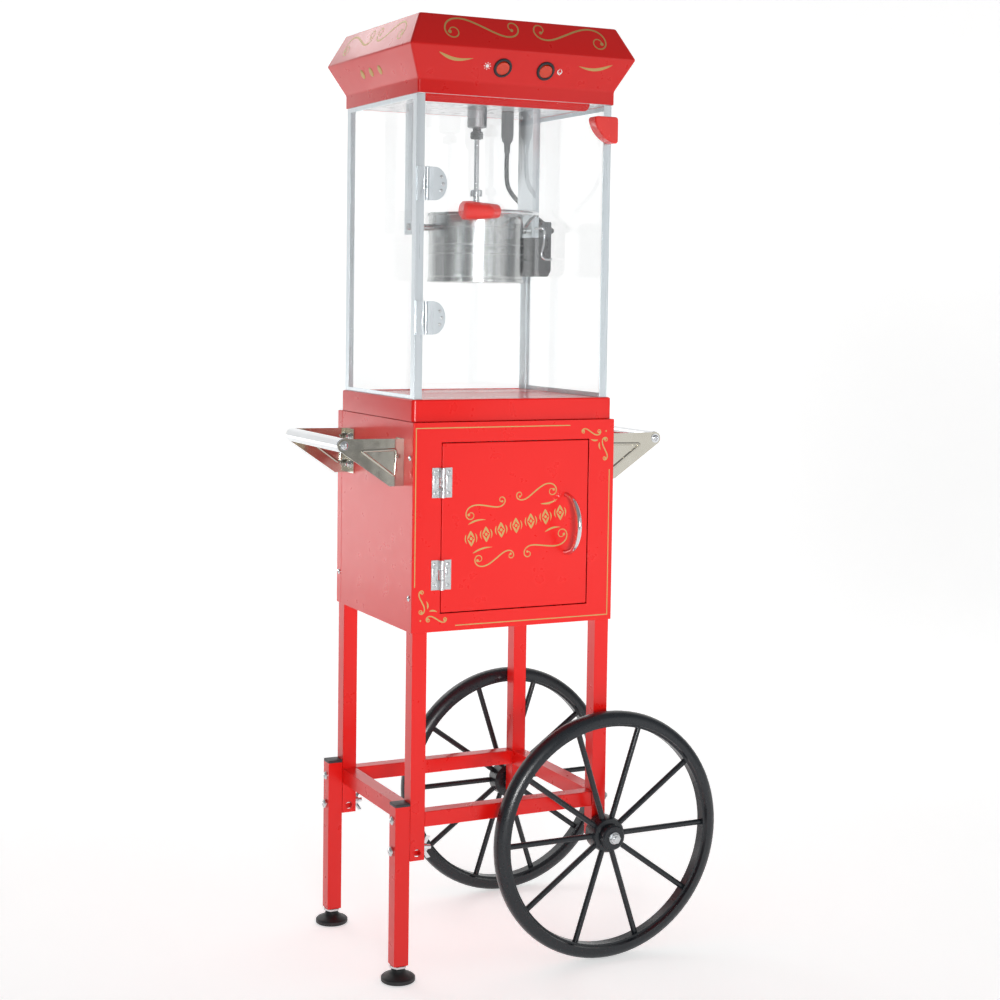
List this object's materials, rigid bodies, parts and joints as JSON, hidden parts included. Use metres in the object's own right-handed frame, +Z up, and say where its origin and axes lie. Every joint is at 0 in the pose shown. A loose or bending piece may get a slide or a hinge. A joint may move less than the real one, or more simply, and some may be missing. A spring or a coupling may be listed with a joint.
{
  "type": "popcorn maker",
  "caption": "Tabletop corn popper with clear case and tilting kettle on a tall cabinet cart with spoked wheels, side handles and levelling feet.",
  "frame": {"origin": "on the floor, in the middle of the whole cart's footprint", "axes": "+Z up, cabinet door faces -Y, spoked wheels at the +X end, levelling feet at the -X end"},
  "size_m": [0.5286, 0.3592, 1.219],
  "materials": {
    "end_frame_left": "gloss",
    "end_frame_right": "gloss",
    "rail_front": "gloss",
    "rail_rear": "gloss",
    "extension_leg_front": "gloss",
    "extension_leg_rear": "gloss",
    "wing_bolt_front": "polished",
    "wing_bolt_rear": "polished",
    "axle_bolt_front": "polished",
    "axle_bolt_rear": "polished",
    "cabinet_front": "gloss",
    "cabinet_side_left": "gloss",
    "cabinet_side_right": "gloss",
    "cabinet_rear": "gloss",
    "cabinet_floor": "gloss",
    "door_hinge_lower_frame_leaf": "polished",
    "door_hinge_upper_frame_leaf": "polished",
    "handle_bracket_left_front": "polished",
    "handle_bracket_left_rear": "polished",
    "handle_bracket_right_front": "polished",
    "handle_bracket_right_rear": "polished",
    "handle_bar_left": "polished",
    "handle_bar_right": "polished",
    "base_tray": "gloss",
    "case_frame_left": "satin",
    "case_frame_right": "satin",
    "pane_left": "clear",
    "pane_right": "clear",
    "pane_rear": "clear",
    "case_hinge_lower_post_leaf": "satin",
    "case_hinge_upper_post_leaf": "satin",
    "hood": "gloss",
    "ceiling_plate": "satin",
    "gear_motor": "brushed",
    "hanger_left": "satin",
    "hanger_right": "satin",
    "kettle_lead": "matte",
    "wheel_front": "matte",
    "wheel_rear": "matte",
    "foot_front": "matte",
    "foot_rear": "matte",
    "cabinet_door": "gloss",
    "door_pull": "polished",
    "door_hinge_lower_door_leaf": "polished",
    "door_hinge_upper_door_leaf": "polished",
    "case_door": "clear",
    "case_door_knob": "gloss",
    "case_hinge_lower_door_leaf": "satin",
    "case_hinge_upper_door_leaf": "satin",
    "rocker_light": "gloss",
    "rocker_heat": "gloss",
    "drive_collar": "matte",
    "drive_shaft": "polished",
    "kettle": "brushed",
    "kettle_terminal_box": "matte",
    "kettle_grip": "gloss",
    "kettle_handle_rod": "polished",
    "lid_front": "satin",
    "lid_rear": "satin",
    "stirrer": "brushed"
  },
  "bodies": {
    "root": {"end_frame_left": "end_frame_left", "end_frame_right": "end_frame_right", "rail_front": "rail_front", "rail_rear": "rail_rear", "extension_leg_front": "extension_leg_front", "extension_leg_rear": "extension_leg_rear", "wing_bolt_front": "wing_bolt_front", "wing_bolt_rear": "wing_bolt_rear", "axle_bolt_front": "axle_bolt_front", "axle_bolt_rear": "axle_bolt_rear", "cabinet_front": "cabinet_front", "cabinet_side_left": "cabinet_side_left", "cabinet_side_right": "cabinet_side_right", "cabinet_rear": "cabinet_rear", "cabinet_floor": "cabinet_floor", "door_hinge_lower_frame_leaf": "door_hinge_lower_frame_leaf", "door_hinge_upper_frame_leaf": "door_hinge_upper_frame_leaf", "handle_bracket_left_front": "handle_bracket_left_front", "handle_bracket_left_rear": "handle_bracket_left_rear", "handle_bracket_right_front": "handle_bracket_right_front", "handle_bracket_right_rear": "handle_bracket_right_rear", "handle_bar_left": "handle_bar_left", "handle_bar_right": "handle_bar_right", "base_tray": "base_tray", "case_frame_left": "case_frame_left", "case_frame_right": "case_frame_right", "pane_left": "pane_left", "pane_right": "pane_right", "pane_rear": "pane_rear", "case_hinge_lower_post_leaf": "case_hinge_lower_post_leaf", "case_hinge_upper_post_leaf": "case_hinge_upper_post_leaf", "hood": "hood", "ceiling_plate": "ceiling_plate", "gear_motor": "gear_motor", "hanger_left": "hanger_left", "hanger_right": "hanger_right", "kettle_lead": "kettle_lead"},
    "front_wheel": {"wheel_front": "wheel_front"},
    "rear_wheel": {"wheel_rear": "wheel_rear"},
    "front_foot": {"foot_front": "foot_front"},
    "rear_foot": {"foot_rear": "foot_rear"},
    "cabinet_door_leaf": {"cabinet_door": "cabinet_door", "door_pull": "door_pull", "door_hinge_lower_door_leaf": "door_hinge_lower_door_leaf", "door_hinge_upper_door_leaf": "door_hinge_upper_door_leaf"},
    "case_door_leaf": {"case_door": "case_door", "case_door_knob": "case_door_knob", "case_hinge_lower_door_leaf": "case_hinge_lower_door_leaf", "case_hinge_upper_door_leaf": "case_hinge_upper_door_leaf"},
    "light_switch": {"rocker_light": "rocker_light"},
    "heat_switch": {"rocker_heat": "rocker_heat"},
    "spindle": {"drive_collar": "drive_collar"},
    "lift_shaft": {"drive_shaft": "drive_shaft"},
    "kettle_body": {"kettle": "kettle", "kettle_terminal_box": "kettle_terminal_box", "kettle_grip": "kettle_grip", "kettle_handle_rod": "kettle_handle_rod"},
    "front_lid": {"lid_front": "lid_front"},
    "rear_lid": {"lid_rear": "lid_rear"},
    "stirrer_body": {"stirrer": "stirrer"}
  },
  "joints": [
    {"name": "front_wheel_spin", "type": "hinge", "parent": "root", "child": "front_wheel", "pos_m": [0.09995, -0.1523, 0.1646], "axis": [0, 1, 0], "continuous": true},
    {"name": "rear_wheel_spin", "type": "hinge", "parent": "root", "child": "rear_wheel", "pos_m": [0.09995, 0.1523, 0.1646], "axis": [0, 1, 0], "continuous": true},
    {"name": "front_foot_screw", "type": "hinge", "parent": "root", "child": "front_foot", "pos_m": [-0.18235, -0.1183, 0], "axis": [0, 0, 1], "continuous": true},
    {"name": "rear_foot_screw", "type": "hinge", "parent": "root", "child": "rear_foot", "pos_m": [-0.18235, 0.1183, 0], "axis": [0, 0, 1], "continuous": true},
    {"name": "cabinet_door_swing", "type": "hinge", "parent": "root", "child": "cabinet_door_leaf", "pos_m": [-0.13505, -0.1344, 0.578], "axis": [0, 0, -1], "range_deg": [0, 110]},
    {"name": "case_door_swing", "type": "hinge", "parent": "root", "child": "case_door_leaf", "pos_m": [-0.15725, -0.1241, 0.93075], "axis": [0, 0, -1], "range_deg": [0, 110]},
    {"name": "light_switch_rock", "type": "hinge", "parent": "root", "child": "light_switch", "pos_m": [-0.05955, -0.13264, 1.15688], "axis": [-1, 0, 0], "range_deg": [0, 10]},
    {"name": "heat_switch_rock", "type": "hinge", "parent": "root", "child": "heat_switch", "pos_m": [0.00105, -0.13264, 1.15688], "axis": [-1, 0, 0], "range_deg": [0, 10]},
    {"name": "spindle_spin", "type": "hinge", "parent": "root", "child": "spindle", "pos_m": [-0.03105, 0, 1.0887], "axis": [0, 0, 1], "continuous": true},
    {"name": "shaft_lift", "type": "slide", "parent": "spindle", "child": "lift_shaft", "axis": [0, 0, 1], "range_m": [0, 0.067]},
    {"name": "kettle_tilt", "type": "hinge", "parent": "root", "child": "kettle_body", "pos_m": [-0.03105, 0, 0.96], "axis": [1, 0, 0], "range_deg": [0, 80]},
    {"name": "front_lid_lift", "type": "hinge", "parent": "kettle_body", "child": "front_lid", "pos_m": [-0.03105, -0.0067, 0.9797], "axis": [-1, 0, 0], "range_deg": [0, 70]},
    {"name": "rear_lid_lift", "type": "hinge", "parent": "kettle_body", "child": "rear_lid", "pos_m": [-0.03105, 0.0067, 0.9797], "axis": [1, 0, 0], "range_deg": [0, 70]},
    {"name": "stirrer_spin", "type": "hinge", "parent": "kettle_body", "child": "stirrer_body", "pos_m": [-0.03105, 0, 0.893], "axis": [0, 0, 1], "continuous": true}
  ],
  "couplings": [
    {"joint": "shaft_lift", "follows": "kettle_tilt", "m_per_rad": 0.0473},
    {"joint": "stirrer_spin", "follows": "spindle_spin", "ratio": 1}
  ]
}
